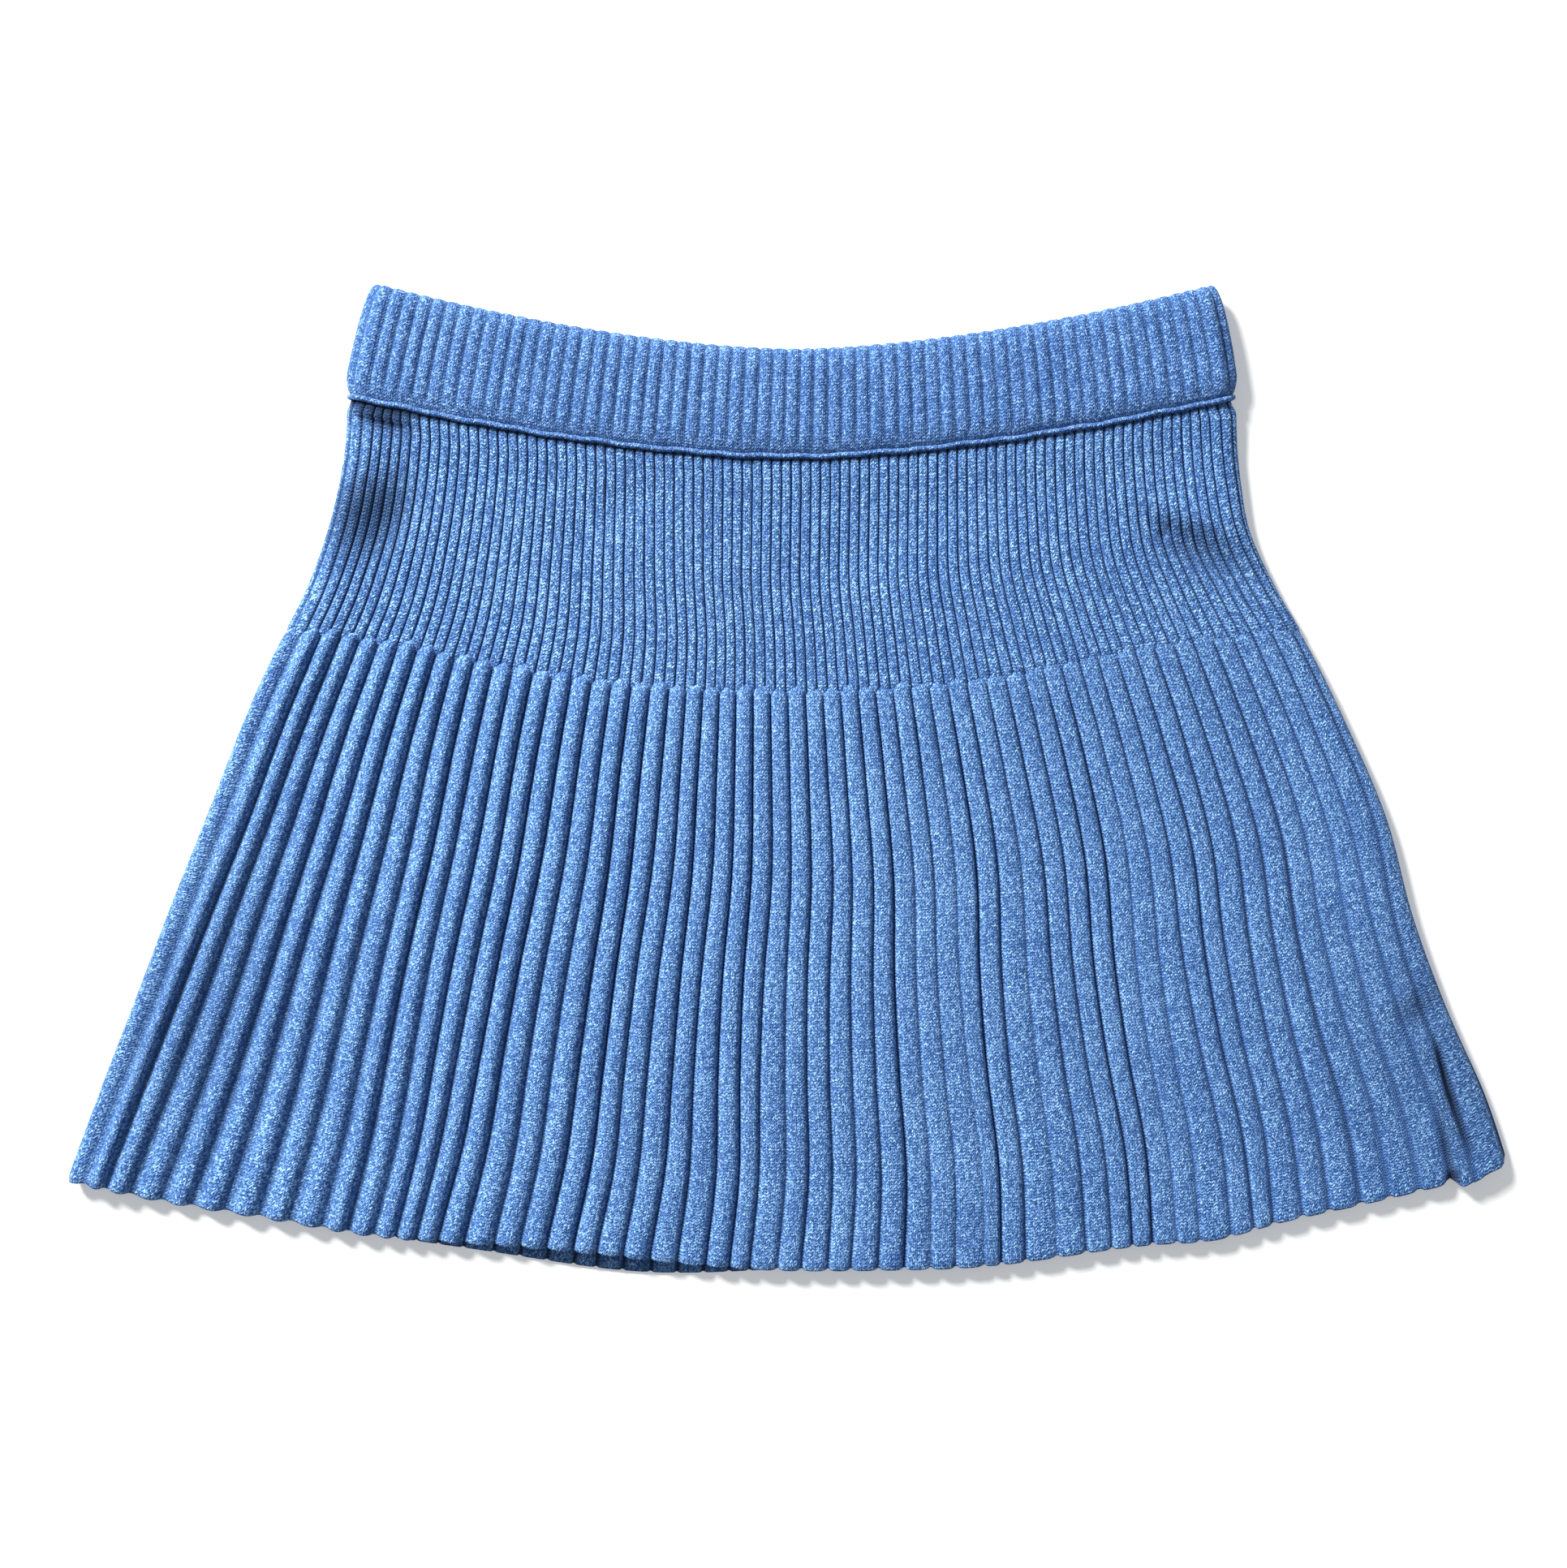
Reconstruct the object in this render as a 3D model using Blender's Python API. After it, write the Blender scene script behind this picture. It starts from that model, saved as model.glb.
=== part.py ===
"""Rib-knit mini skirt laid flat, front up: a flattened tube of a front and a back panel joined at the
side seams, with a folded waistband round its top. Metres, +Z up, +Y from the hem to the waist, and the
surface that it lies on is at z = 0.
"""

import math
import random
from collections import namedtuple

import bmesh
import bpy
from mathutils import Vector

# The cloth
SEAM_GAP = 0.0003
FRONT_CLOTH = 0.0012
BACK_CLOTH = 0.0018

# The rib knit, as wales of raised ribs between grooves
WIDE_RIBS = 55
FINE_RIBS = 92
BAND_RIBS = 63
WIDE_RIB_RISE = 0.0018
FINE_RIB_RISE = 0.0007
BAND_RIB_RISE = 0.0007

# Down the centre front, from the waist fold
WAIST_Y = 0.1694
TUCK_TOP = 0.0358
RIBS_CHANGE = 0.1331
LENGTH = 0.3620
HEM_SCALLOP = 0.0010

# How the rows curve up to the sides, as a power of the place across
WAIST_CURVE = 1.65
HEM_CURVE = 1.90

# Where the tube is folded flat at the side seams
SIDE_ROUND = 0.0080
BAND_HALF = 0.0046
TUCK_INSET = 0.0028
RIB_INSET = 0.0008

Station = namedtuple("Station", "down left_x left_y right_x right_y")
OUTLINE = [
    Station(0.0000, -0.1626, 0.1955, 0.1693, 0.1950),
    Station(0.0214, -0.1686, 0.1733, 0.1741, 0.1733),
    Station(0.0428, -0.1731, 0.1509, 0.1776, 0.1502),
    Station(0.0537, -0.1728, 0.1397, 0.1776, 0.1397),
    Station(0.0729, -0.1757, 0.1189, 0.1794, 0.1189),
    Station(0.0921, -0.1808, 0.0981, 0.1832, 0.0981),
    Station(0.1129, -0.1886, 0.0766, 0.1930, 0.0766),
    Station(0.1331, -0.1984, 0.0565, 0.2036, 0.0581),
    Station(0.1657, -0.2122, 0.0261, 0.2197, 0.0261),
    Station(0.2073, -0.2273, -0.0123, 0.2371, -0.0139),
    Station(0.2489, -0.2415, -0.0475, 0.2476, -0.0523),
    Station(0.2873, -0.2543, -0.0811, 0.2598, -0.0859),
    Station(0.3257, -0.2678, -0.1163, 0.2747, -0.1211),
    Station(0.3620, -0.2829, -0.1570, 0.2846, -0.1522),
]

# How high the panels' tube stands: its underside, half its height at the side folds, how far the front
# settles on the back between them, and how far the panels are drawn in under the band
Lie = namedtuple("Lie", "down underside half settle inset")
PANEL_LIE = [
    Lie(0.0358, 0.0020, 0.0023, 0.0000, TUCK_INSET),
    Lie(0.0440, 0.0020, 0.0023, 0.0000, TUCK_INSET),
    Lie(0.0490, 0.0015, 0.0025, 0.0000, RIB_INSET),
    Lie(0.0640, 0.0000, 0.0030, 0.0008, RIB_INSET),
    Lie(0.1000, 0.0000, 0.0030, 0.0014, RIB_INSET),
    Lie(0.1331, 0.0000, 0.0030, 0.0018, RIB_INSET),
    Lie(0.3620, 0.0000, 0.0029, 0.0018, RIB_INSET),
]
SETTLE_OVER = 0.024

# Where the wide ribs crowd to one side: a share of the ribs, and their drift across as a share of the
# width, at the top of the ribs and at the hem
Drift = namedtuple("Drift", "share top hem")
RIB_DRIFT = [
    Drift(0.00, 0.000, 0.000),
    Drift(0.09, 0.003, -0.001),
    Drift(0.18, 0.007, 0.014),
    Drift(0.27, 0.013, 0.004),
    Drift(0.36, 0.017, 0.005),
    Drift(0.45, 0.008, 0.003),
    Drift(0.55, 0.001, 0.000),
    Drift(0.64, -0.004, -0.002),
    Drift(0.73, -0.001, -0.005),
    Drift(0.82, 0.000, -0.014),
    Drift(0.91, 0.004, -0.013),
    Drift(0.98, 0.006, -0.006),
    Drift(1.00, 0.000, 0.000),
]
RIB_WOBBLE = 0.0024

# Soft folds of the front: the middle, half the length and width, the turn of the length from +X in
# degrees, and the rise
Fold = namedtuple("Fold", "x y long wide turn rise")
FOLDS = [
    Fold(-0.1630, 0.1030, 0.0180, 0.0075, 73, -0.0017),
    Fold(-0.1440, 0.1000, 0.0220, 0.0080, 73, 0.0009),
    Fold(0.1680, 0.0930, 0.0220, 0.0065, -24, -0.0012),
    Fold(0.1500, 0.0830, 0.0200, 0.0080, -30, 0.0008),
    Fold(0.0350, 0.0930, 0.0350, 0.0100, 20, -0.0004),
    Fold(0.2640, -0.1330, 0.0240, 0.0035, -72, -0.0018),
    Fold(0.2486, -0.0920, 0.0070, 0.0050, 20, -0.0011),
]

# Where the hems hang longer or shorter than their smooth curve: where across, as a share of the half width
# from the middle, how wide, and how much longer the front and the back are there. The back hem shows where
# it is the longer, and elsewhere it is the shorter by a little
HemWave = namedtuple("HemWave", "across wide front back")
HEM_WAVES = [
    HemWave(-0.72, 0.10, -0.0014, -0.0014),
    HemWave(-0.33, 0.22, -0.0042, 0.0000),
    HemWave(-0.20, 0.17, 0.0000, 0.0038),
    HemWave(0.27, 0.12, 0.0014, 0.0014),
    HemWave(0.59, 0.07, 0.0026, 0.0026),
]
BACK_SHORTER = 0.0012


def smooth(rows, key, value, at):
    """The smooth curve through one column of a table, read at a place in another column."""
    xs = [getattr(row, key) for row in rows]
    ys = [getattr(row, value) for row in rows]
    at = min(max(at, xs[0]), xs[-1])
    k = next(i for i in range(len(xs) - 1) if at <= xs[i + 1])

    def slope(i):
        low, high = max(i - 1, 0), min(i + 1, len(xs) - 1)
        return (ys[high] - ys[low]) / (xs[high] - xs[low])

    step = xs[k + 1] - xs[k]
    s = (at - xs[k]) / step
    start, end = slope(k) * step, slope(k + 1) * step
    rise = ys[k + 1] - ys[k]
    return ys[k] + s * start + s * s * (3 * rise - 2 * start - end) + s**3 * (start + end - 2 * rise)


def ease(x):
    """0 below 0, 1 above 1, and a smooth step between."""
    x = min(max(x, 0.0), 1.0)
    return x * x * (3 - 2 * x)


def hem_wave(key, share):
    """How much longer than its smooth curve one hem hangs at a share of its width, from 0 to 1."""
    u = 2 * share - 1
    return sum(
        getattr(wave, key) * math.exp(-(((u - wave.across) / wave.wide) ** 2)) for wave in HEM_WAVES
    )


def fold_rise(x, y):
    """How far the soft folds lift or sink the front at a place."""
    total = 0.0
    for fold in FOLDS:
        turn = math.radians(fold.turn)
        dx, dy = x - fold.x, y - fold.y
        along = (dx * math.cos(turn) + dy * math.sin(turn)) / fold.long
        aside = (dy * math.cos(turn) - dx * math.sin(turn)) / fold.wide
        total += fold.rise * math.exp(-(along**2) - aside**2)
    return total


class Tube:
    """The skirt's tube folded flat: its outer surface, and the layers under it, at any place."""

    def __init__(self, down, front, lie=None):
        self.down, self.front = down, front
        self.inset = smooth(lie, "down", "inset", down) if lie else 0.0
        self.half = smooth(lie, "down", "half", down) if lie else BAND_HALF
        self.underside = max(smooth(lie, "down", "underside", down), 0.0) if lie else 0.0
        self.settle = max(smooth(lie, "down", "settle", down), 0.0) if lie and front else 0.0
        self.left = smooth(OUTLINE, "down", "left_x", down)
        self.right = smooth(OUTLINE, "down", "right_x", down)
        self.left_y = smooth(OUTLINE, "down", "left_y", down)
        self.right_y = smooth(OUTLINE, "down", "right_y", down)
        self.arc = math.pi / 2 * math.sqrt((SIDE_ROUND**2 + self.half**2) / 2)
        self.width = self.right - self.left - 2 * (self.inset + SIDE_ROUND) + 2 * self.arc

    def lengthwise(self, x):
        """Where the row lies along the skirt at a place across it, on the row's own curve."""
        u = (2 * x - self.left - self.right) / (self.right - self.left)
        end_y = self.left_y if u < 0 else self.right_y
        centre_y = WAIST_Y - self.down
        curve = WAIST_CURVE + (HEM_CURVE - WAIST_CURVE) * self.down / LENGTH
        return centre_y + (end_y - centre_y) * min(abs(u), 1.0) ** curve

    def point(self, share, depth, longer=0.0):
        """The point at a share of the cloth's width and a depth under the tube's outer surface.

        The share runs from 0 at the left side seam to 1 at the right one, and a depth below 0 is outside.
        """
        run = share * self.width
        from_side = min(run, self.width - run)
        angle = min(from_side / self.arc, 1.0) * math.pi / 2
        inward = SIDE_ROUND - (SIDE_ROUND - depth) * math.cos(angle) + max(from_side - self.arc, 0.0)
        inward += self.inset
        x = self.left + inward if run < self.width / 2 else self.right - inward
        y = self.lengthwise(x) - longer
        height = (self.half - depth) * math.sin(angle) + SEAM_GAP / 2
        middle = self.underside + self.half + SEAM_GAP / 2
        if not self.front:
            return Vector((x, y, middle - height))
        sink = self.settle * ease((from_side - self.arc) / SETTLE_OVER)
        folds = fold_rise(x, y) * ease(from_side / SETTLE_OVER) if self.settle else 0.0
        return Vector((x, y, middle + height - sink + folds))


# Columns of the rows with no ribs, with closer ones round the side folds
PLAIN_COLUMNS = 36
BAND_EDGE_COLUMNS = 60
SIDE_SHARES = [0.0, 0.006, 0.013, 0.021]


def plain_shares(count):
    """Even shares across a plain row, with the side folds' own at each end."""
    first = SIDE_SHARES[-1]
    flat = [first + (1 - 2 * first) * k / count for k in range(count + 1)]
    return SIDE_SHARES[:-1] + flat + [1 - share for share in reversed(SIDE_SHARES[:-1])]


chance = random.Random(4)
WOBBLES = [0.0] + [chance.uniform(-1, 1) for _ in range(WIDE_RIBS - 1)] + [0.0]


def wide_groove(k, down):
    """The share of the width at which groove k of the wide ribs lies."""
    share = k / WIDE_RIBS
    low = (down - RIBS_CHANGE) / (LENGTH - RIBS_CHANGE)
    top = smooth(RIB_DRIFT, "share", "top", share)
    hem = smooth(RIB_DRIFT, "share", "hem", share)
    return share + top + (hem - top) * low + WOBBLES[k] * RIB_WOBBLE * low**2


def rib_columns(count, phases, groove):
    """The share and the phase of each column of a ribbed row."""
    columns = []
    for k in range(count):
        start, end = groove(k), groove(k + 1)
        columns += [(start + (end - start) * phase, phase) for phase in phases]
    return columns + [(1.0, 0.0)]


# How high a rib stands at each place across it, from its groove to the next
FINE_PROFILE = {0.0: 0.0, 0.2: 1.0, 0.8: 1.0}
BAND_PROFILE = {0.0: 0.0, 0.3: 1.0, 0.7: 1.0}
WIDE_PROFILE = {0.0: 0.0, 0.2: 0.84, 0.5: 1.0, 0.8: 0.84}


def narrow_row(tube, count, profile, depth, rise):
    """A row of narrow, evenly spaced ribs: the groove, then each rib's two shoulders."""
    columns = rib_columns(count, profile, lambda k: k / count)
    return [tube.point(share, depth - profile[phase] * rise) for share, phase in columns]


def wide_row(tube, fullness, longer, scallop):
    """A row of wide ribs: a groove, a shoulder, the rounded crown and the other shoulder."""
    columns = rib_columns(WIDE_RIBS, WIDE_PROFILE, lambda k: wide_groove(k, tube.down))
    return [
        tube.point(
            share,
            -WIDE_PROFILE[phase] * WIDE_RIB_RISE * fullness,
            longer(share) + scallop * WIDE_PROFILE[phase],
        )
        for share, phase in columns
    ]


def plain_row(tube, depth, longer=lambda share: 0.0, count=PLAIN_COLUMNS):
    return [tube.point(share, depth, longer(share)) for share in plain_shares(count)]


def zip_rows(bm, first, second):
    """Triangles between two rows of vertices that run the same way, whatever their counts."""
    i = j = 0
    while i < len(first) - 1 or j < len(second) - 1:
        if j == len(second) - 1:
            step_first = True
        elif i == len(first) - 1:
            step_first = False
        else:
            across_first = (first[i + 1].co - second[j].co).length
            across_second = (first[i].co - second[j + 1].co).length
            step_first = across_first < across_second
        if step_first:
            bm.faces.new((first[i], first[i + 1], second[j]))
            i += 1
        else:
            bm.faces.new((first[i], second[j + 1], second[j]))
            j += 1


def wall(name, outer_rows, inner_rows, material):
    """A closed wall of cloth between an outer and an inner surface, each a list of rows."""
    bm = bmesh.new()
    outer = [[bm.verts.new(p) for p in row] for row in outer_rows]
    inner = [[bm.verts.new(p) for p in row] for row in inner_rows]
    for surface in (outer, inner):
        for upper, lower in zip(surface, surface[1:]):
            zip_rows(bm, upper, lower)
    zip_rows(bm, outer[0], inner[0])
    zip_rows(bm, outer[-1], inner[-1])
    for end in (0, -1):
        zip_rows(bm, [row[end] for row in outer], [row[end] for row in inner])
    bmesh.ops.recalc_face_normals(bm, faces=bm.faces)
    mesh = bpy.data.meshes.new(name)
    bm.to_mesh(mesh)
    bm.free()
    mesh.materials.append(material)
    mesh.shade_smooth()
    mesh.set_sharp_from_angle(angle=math.radians(40))
    piece = bpy.data.objects.new(name, mesh)
    bpy.context.scene.collection.objects.link(piece)
    return piece


def knit(name, colour, roughness):
    material = bpy.data.materials.new(name)
    material.use_nodes = True
    shader = material.node_tree.nodes["Principled BSDF"]
    shader.inputs["Base Color"].default_value = (*colour, 1.0)
    shader.inputs["Roughness"].default_value = roughness
    shader.inputs["Metallic"].default_value = 0.0
    return material


# Down from the waist, the rows of each panel, with how full the wide ribs stand in theirs
FINE_ROWS = [TUCK_TOP, 0.0440, 0.0490, 0.0640, 0.0860, 0.1090, 0.1315]
WIDE_ROWS = {
    0.1345: 0.35,
    0.1385: 1.0,
    0.1750: 1.0,
    0.2150: 1.0,
    0.2550: 1.0,
    0.2920: 1.0,
    0.3280: 1.0,
    0.3604: 1.0,
    LENGTH: 0.85,
}
HEM_ZONE = 0.060


def hem_reach(down):
    """How far a row takes part in what the hem does: 0 above the hem's zone and 1 at the hem."""
    return ease((down - LENGTH + HEM_ZONE) / HEM_ZONE)


def front_longer(down):
    """How much longer than the plain outline the front is in this row, by the share of the width."""
    return lambda share: hem_wave("front", share) * hem_reach(down)


def back_longer(down):
    return lambda share: (hem_wave("back", share) - BACK_SHORTER) * hem_reach(down)


def front_panel(material):
    """The front, knitted in one piece: fine ribs over the hips, then wide ribs that flare to the hem."""
    outer, inner = [], []
    for down in FINE_ROWS:
        tube = Tube(down, True, PANEL_LIE)
        outer.append(narrow_row(tube, FINE_RIBS, FINE_PROFILE, 0.0, FINE_RIB_RISE))
        inner.append(plain_row(tube, FRONT_CLOTH))
    for down, fullness in WIDE_ROWS.items():
        tube = Tube(down, True, PANEL_LIE)
        scallop = HEM_SCALLOP if down == LENGTH else 0.0
        outer.append(wide_row(tube, fullness, front_longer(down), scallop))
        inner.append(plain_row(tube, FRONT_CLOTH, front_longer(down)))
    return wall("skirt_front", outer, inner, material)


def back_panel(material):
    """The back: its ribs lie pressed flat on the surface, and its hem shows where the front is shorter."""
    downs = FINE_ROWS + list(WIDE_ROWS)
    outer = [plain_row(Tube(down, False, PANEL_LIE), 0.0, back_longer(down)) for down in downs]
    inner = [plain_row(Tube(down, False, PANEL_LIE), BACK_CLOTH, back_longer(down)) for down in downs]
    return wall("skirt_back", outer, inner, material)


# The waistband is a strip folded over at the waist. Each row of its section is a distance down from the
# waist, a depth under its outer surface and the share of its ribs' rise there, or None where it is plain.
# The back lies flat on the surface, so it has no ribs and nothing that stands out
BAND_OUTSIDE = [
    (0.0434, 0.0008, None),
    (0.0432, -0.0003, None),
    (0.0422, -0.0008, None),
    (0.0410, -0.0004, None),
    (0.0401, 0.0002, 0.0),
    (0.0380, -0.0001, 0.8),
    (0.0260, -0.0003, 1.0),
    (0.0130, -0.0003, 1.0),
    (0.0045, 0.0000, 1.0),
    (0.0012, 0.0009, 0.6),
    (0.0000, 0.0022, None),
    (0.0008, 0.0037, None),
    (0.0045, 0.0044, None),
    (0.0355, 0.0044, None),
]
BAND_INSIDE = [
    (0.0428, 0.0016),
    (0.0240, 0.0016),
    (0.0060, 0.0016),
    (0.0022, 0.0022),
    (0.0060, 0.0028),
    (0.0355, 0.0028),
]


def waistband(name, front, material):
    """One side of the waistband: the outer layer with its rolled lower edge, the fold and the inner layer."""
    outer = []
    for down, depth, ribs in BAND_OUTSIDE:
        tube = Tube(down, front)
        if not front:
            outer.append(plain_row(tube, max(depth, 0.0)))
        elif ribs is None:
            outer.append(plain_row(tube, depth, count=BAND_EDGE_COLUMNS))
        else:
            outer.append(narrow_row(tube, BAND_RIBS, BAND_PROFILE, depth, BAND_RIB_RISE * ribs))
    inner = [plain_row(Tube(down, front), depth) for down, depth in BAND_INSIDE]
    return wall(name, outer, inner, material)


for old in list(bpy.data.objects):
    bpy.data.objects.remove(old)

panel_knit = knit("panel_knit", (0.110, 0.240, 0.560), 0.92)
band_knit = knit("band_knit", (0.125, 0.260, 0.580), 0.92)

skirt = bpy.data.objects.new("skirt", None)
bpy.context.scene.collection.objects.link(skirt)
pieces = [
    front_panel(panel_knit),
    back_panel(panel_knit),
    waistband("waistband_front", True, band_knit),
    waistband("waistband_back", False, band_knit),
]
for piece in pieces:
    piece.parent = skirt
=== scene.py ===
import math
import random
from collections import namedtuple

import bmesh
import bpy
import numpy as np
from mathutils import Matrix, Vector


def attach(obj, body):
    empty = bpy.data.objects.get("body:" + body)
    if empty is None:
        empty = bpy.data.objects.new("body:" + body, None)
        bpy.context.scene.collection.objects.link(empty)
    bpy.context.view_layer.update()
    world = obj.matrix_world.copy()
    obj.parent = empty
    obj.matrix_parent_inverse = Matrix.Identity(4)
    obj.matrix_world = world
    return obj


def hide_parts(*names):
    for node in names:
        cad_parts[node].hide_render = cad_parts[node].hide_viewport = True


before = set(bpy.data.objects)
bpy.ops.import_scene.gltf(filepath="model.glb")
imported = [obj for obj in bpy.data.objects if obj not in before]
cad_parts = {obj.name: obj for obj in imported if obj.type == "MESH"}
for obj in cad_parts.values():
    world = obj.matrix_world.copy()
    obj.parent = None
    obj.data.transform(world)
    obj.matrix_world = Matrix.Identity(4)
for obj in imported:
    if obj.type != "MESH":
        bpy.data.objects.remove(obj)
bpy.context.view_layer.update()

# Skirt back: the hidden half of the knitted tube, from the same blue heathered wool as the rest. It lies
# face down, its ribs pressed flat on the surface, and its hem shows where the front is the shorter.
WIDE_RIBS = 55
FINE_RIBS = 92
WAIST_Y = 0.1694
TUCK_TOP = 0.0358
RIBS_CHANGE = 0.1331
LENGTH = 0.3620
WAIST_CURVE = 1.65
HEM_CURVE = 1.90
SIDE_ROUND = 0.0080
SEAM_GAP = 0.0001
TUCK_INSET = 0.0028
RIB_INSET = 0.0008
BAND_HALF = 0.0046

# The outline laid flat, by the distance down from the waist
Station = namedtuple("Station", "down left_x left_y right_x right_y")
OUTLINE = [
    Station(0.0000, -0.1626, 0.1955, 0.1693, 0.1950),
    Station(0.0214, -0.1686, 0.1733, 0.1741, 0.1733),
    Station(0.0428, -0.1731, 0.1509, 0.1776, 0.1502),
    Station(0.0537, -0.1728, 0.1397, 0.1776, 0.1397),
    Station(0.0729, -0.1757, 0.1189, 0.1794, 0.1189),
    Station(0.0921, -0.1808, 0.0981, 0.1832, 0.0981),
    Station(0.1129, -0.1886, 0.0766, 0.1930, 0.0766),
    Station(0.1331, -0.1984, 0.0565, 0.2036, 0.0581),
    Station(0.1657, -0.2122, 0.0261, 0.2197, 0.0261),
    Station(0.2073, -0.2273, -0.0123, 0.2371, -0.0139),
    Station(0.2489, -0.2415, -0.0475, 0.2476, -0.0523),
    Station(0.2873, -0.2543, -0.0811, 0.2598, -0.0859),
    Station(0.3257, -0.2678, -0.1163, 0.2747, -0.1211),
    Station(0.3620, -0.2829, -0.1570, 0.2846, -0.1522),
]

# How high the panels' tube stands: its underside, half its height at the side folds, how far the front
# settles on the back between them, and how far the panels are drawn in under the band
Lie = namedtuple("Lie", "down underside half settle inset")
PANEL_LIE = [
    Lie(0.0358, 0.0020, 0.0023, 0.0000, TUCK_INSET),
    Lie(0.0440, 0.0020, 0.0023, 0.0000, TUCK_INSET),
    Lie(0.0490, 0.0015, 0.0025, 0.0000, RIB_INSET),
    Lie(0.0640, 0.0000, 0.0030, 0.0008, RIB_INSET),
    Lie(0.1000, 0.0000, 0.0030, 0.0014, RIB_INSET),
    Lie(0.1331, 0.0000, 0.0030, 0.0018, RIB_INSET),
    Lie(0.3620, 0.0000, 0.0029, 0.0018, RIB_INSET),
]
INSET_OVER = 0.030
SETTLE_OVER = 0.024
FOLDS_OVER = 0.008

# Where the ribs crowd to one side: a share of the ribs, and their drift across at the top of the wide ribs
# and at the hem
Drift = namedtuple("Drift", "share top hem")
RIB_DRIFT = [
    Drift(0.00, 0.000, 0.000),
    Drift(0.09, 0.003, -0.001),
    Drift(0.18, 0.007, 0.014),
    Drift(0.27, 0.013, 0.004),
    Drift(0.36, 0.017, 0.005),
    Drift(0.45, 0.008, 0.003),
    Drift(0.55, 0.001, 0.000),
    Drift(0.64, -0.004, -0.002),
    Drift(0.73, -0.001, -0.005),
    Drift(0.82, 0.000, -0.014),
    Drift(0.91, 0.004, -0.013),
    Drift(0.98, 0.006, -0.006),
    Drift(1.00, 0.000, 0.000),
]
RIB_WOBBLE = 0.0024
DRIFT_FROM = 0.05

# Soft folds of the front: the middle, half the length and width, the turn of the length from +X in
# degrees, the rise, and how much shade is painted there. Folds with little or no rise are painted shade
# alone, and the one under the band's left end paints the band's shadow.
Fold = namedtuple("Fold", "x y long wide turn rise closed")
FOLDS = [
    Fold(-0.1580, 0.1020, 0.0170, 0.0110, 52, -0.0030, 0.00),
    Fold(-0.1640, 0.1054, 0.0240, 0.0195, 60, 0.0000, 0.60),
    Fold(-0.1430, 0.1010, 0.0220, 0.0080, 73, 0.0006, 0.00),
    Fold(-0.1596, 0.1440, 0.0145, 0.0064, -24, -0.0022, 0.72),
    Fold(0.1640, 0.0900, 0.0200, 0.0070, -28, -0.0032, 0.00),
    Fold(0.1655, 0.0900, 0.0290, 0.0130, -28, 0.0000, 0.42),
    Fold(0.1560, 0.1040, 0.0160, 0.0045, -24, 0.0014, 0.00),
    Fold(0.1500, 0.0978, 0.0036, 0.0018, 50, -0.0009, 0.05),
    Fold(0.0350, 0.0930, 0.0350, 0.0100, 20, -0.0007, 0.00),
    Fold(-0.0700, 0.1050, 0.0300, 0.0090, 35, -0.0008, 0.00),
    Fold(0.2588, -0.1130, 0.0090, 0.0013, -76, -0.0018, 0.50),
    Fold(0.2626, -0.1265, 0.0100, 0.0013, -71, -0.0020, 0.78),
    Fold(0.2690, -0.1420, 0.0080, 0.0018, -64, -0.0016, 0.30),
    Fold(0.2605, -0.1450, 0.0120, 0.0013, -77, -0.0014, 0.42),
    Fold(0.2630, -0.1568, 0.0026, 0.0020, -80, -0.0016, 1.00),
    Fold(0.2560, -0.1330, 0.0160, 0.0036, -76, 0.0008, 0.00),
    Fold(0.2500, -0.0900, 0.0100, 0.0060, 40, -0.0014, 0.16),
    Fold(0.2440, -0.0860, 0.0080, 0.0030, 10, 0.0008, 0.00),
    Fold(0.2530, -0.1050, 0.0070, 0.0020, 20, 0.0006, 0.00),
    Fold(0.2580, -0.1230, 0.0040, 0.0014, -10, 0.0005, 0.00),
    Fold(0.2560, -0.1100, 0.0900, 0.0420, -75, -0.0003, 0.29),
    Fold(-0.2300, -0.0900, 0.1000, 0.0500, 66, -0.0003, 0.25),
]

# Where the hems hang longer or shorter than their smooth curve: where across, as a share of the half
# width, how wide, and how much longer the front and the back are there
HemWave = namedtuple("HemWave", "across wide front back")
HEM_WAVES = [
    HemWave(-0.72, 0.10, -0.0014, -0.0014),
    HemWave(-0.33, 0.22, -0.0042, 0.0000),
    HemWave(-0.20, 0.17, 0.0000, 0.0038),
    HemWave(0.27, 0.12, 0.0014, 0.0014),
    HemWave(0.59, 0.07, 0.0026, 0.0026),
    HemWave(0.918, 0.010, -0.0012, -0.0014),
    HemWave(0.934, 0.009, 0.0022, 0.0000),
    HemWave(0.951, 0.009, 0.0024, 0.0000),
    HemWave(0.976, 0.012, -0.0010, -0.0012),
    HemWave(1.000, 0.012, -0.0044, -0.0044),
]
BACK_SHORTER = 0.0012
HEM_ZONE = 0.060

# How much higher than in the middle the fine ribs change to wide ones, towards the sides
Lift = namedtuple("Lift", "share up")
CHANGE_LIFTS = [
    Lift(0.00, 0.0040),
    Lift(0.06, 0.0060),
    Lift(0.16, 0.0046),
    Lift(0.26, 0.0014),
    Lift(0.36, 0.0000),
    Lift(0.66, 0.0000),
    Lift(0.76, 0.0030),
    Lift(0.86, 0.0052),
    Lift(0.94, 0.0040),
    Lift(1.00, 0.0020),
]


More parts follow.
